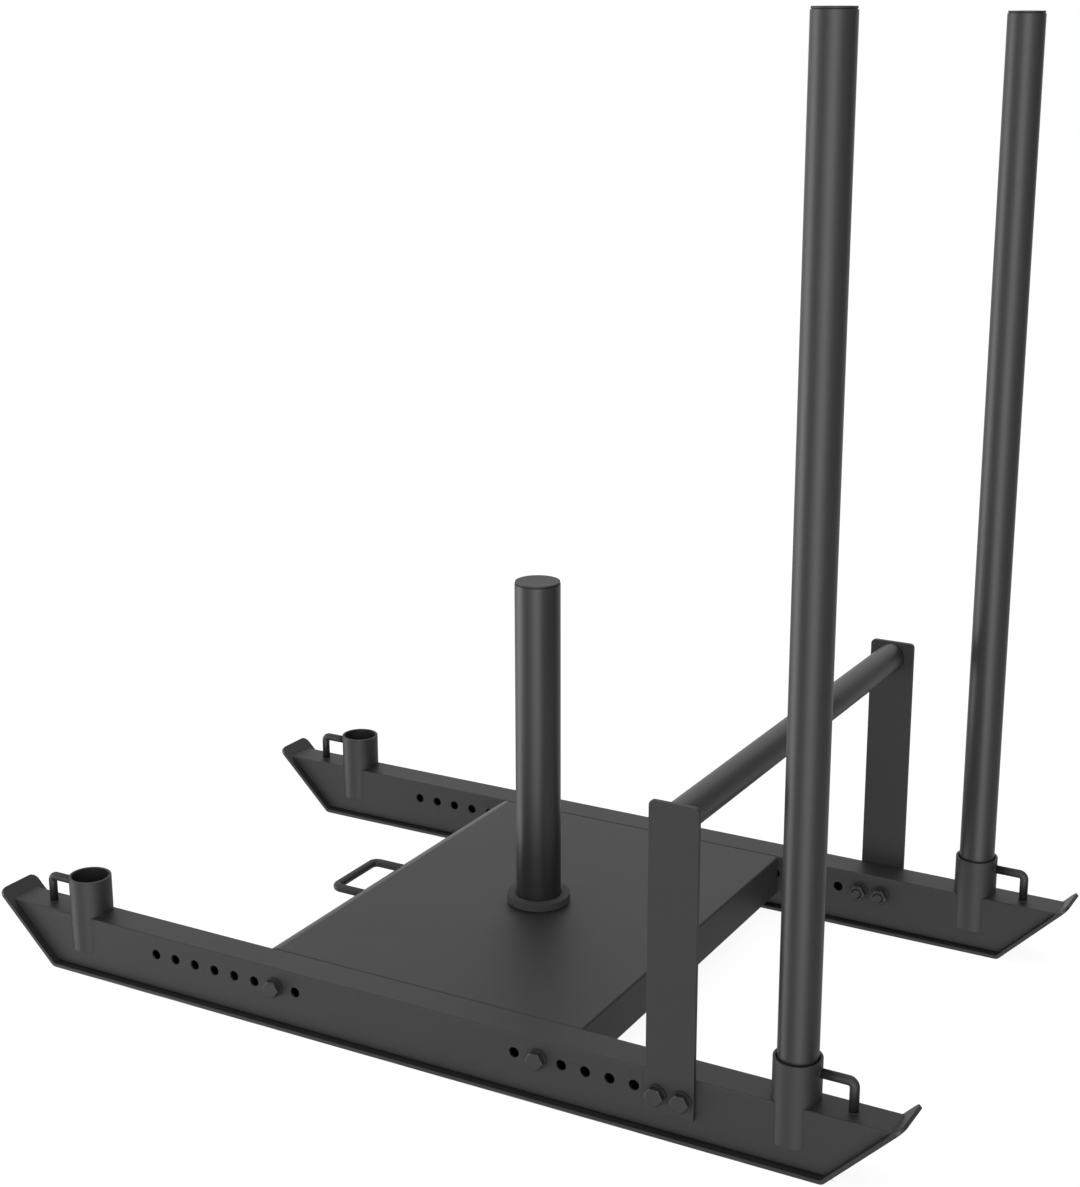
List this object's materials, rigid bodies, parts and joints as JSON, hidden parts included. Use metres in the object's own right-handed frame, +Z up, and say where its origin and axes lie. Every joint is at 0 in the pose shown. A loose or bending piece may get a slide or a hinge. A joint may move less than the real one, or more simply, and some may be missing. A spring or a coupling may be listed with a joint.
{
  "type": "push sled",
  "caption": "Low steel push and pull sled: kicked-up runners joined by a bolted deck with a weight post and a tow loop, a low cross handle and lift-out push poles.",
  "frame": {"origin": "on the floor under the middle of the sled", "axes": "+X along the runners to the rear, where the pusher stands; +Y to the pusher's right; +Z up. The tow loop is at the front, -X"},
  "size_m": [1.07, 0.5918, 1.029],
  "materials": {
    "powder_coat": "fine matte charcoal powder coat",
    "skid_coat": "matte charcoal powder coat, rubbed on the sole",
    "pole_coat": "smooth satin charcoal powder coat",
    "black_plastic": "moulded matte black",
    "black_fasteners": "satin black zinc"
  },
  "bodies": {
    "sled": {"left_beam": "powder_coat", "right_beam": "powder_coat", "left_skid": "skid_coat", "right_skid": "skid_coat", "left_front_socket": "powder_coat", "right_front_socket": "powder_coat", "left_rear_socket": "powder_coat", "right_rear_socket": "powder_coat", "left_front_loop": "powder_coat", "right_front_loop": "powder_coat", "left_rear_loop": "powder_coat", "right_rear_loop": "powder_coat", "deck_plate": "powder_coat", "tow_loop": "powder_coat", "post_foot": "powder_coat", "weight_post": "pole_coat", "post_cap": "black_plastic", "left_upright": "powder_coat", "right_upright": "powder_coat", "cross_handle": "pole_coat", "deck_bolts": "black_fasteners", "deck_washers": "black_fasteners", "deck_nuts": "black_fasteners", "handle_bolts": "black_fasteners", "handle_washers": "black_fasteners", "handle_nuts": "black_fasteners"},
    "left_push_pole": {"left_pole": "pole_coat", "left_pole_cap": "black_plastic", "left_pole_foot": "black_plastic"},
    "right_push_pole": {"right_pole": "pole_coat", "right_pole_cap": "black_plastic", "right_pole_foot": "black_plastic"}
  },
  "joints": [
    {"name": "left_pole_lift", "type": "slide", "parent": "sled", "child": "left_push_pole", "axis": [0, 0, 1], "range_m": [0, 0.1]},
    {"name": "right_pole_lift", "type": "slide", "parent": "sled", "child": "right_push_pole", "axis": [0, 0, 1], "range_m": [0, 0.1]}
  ]
}
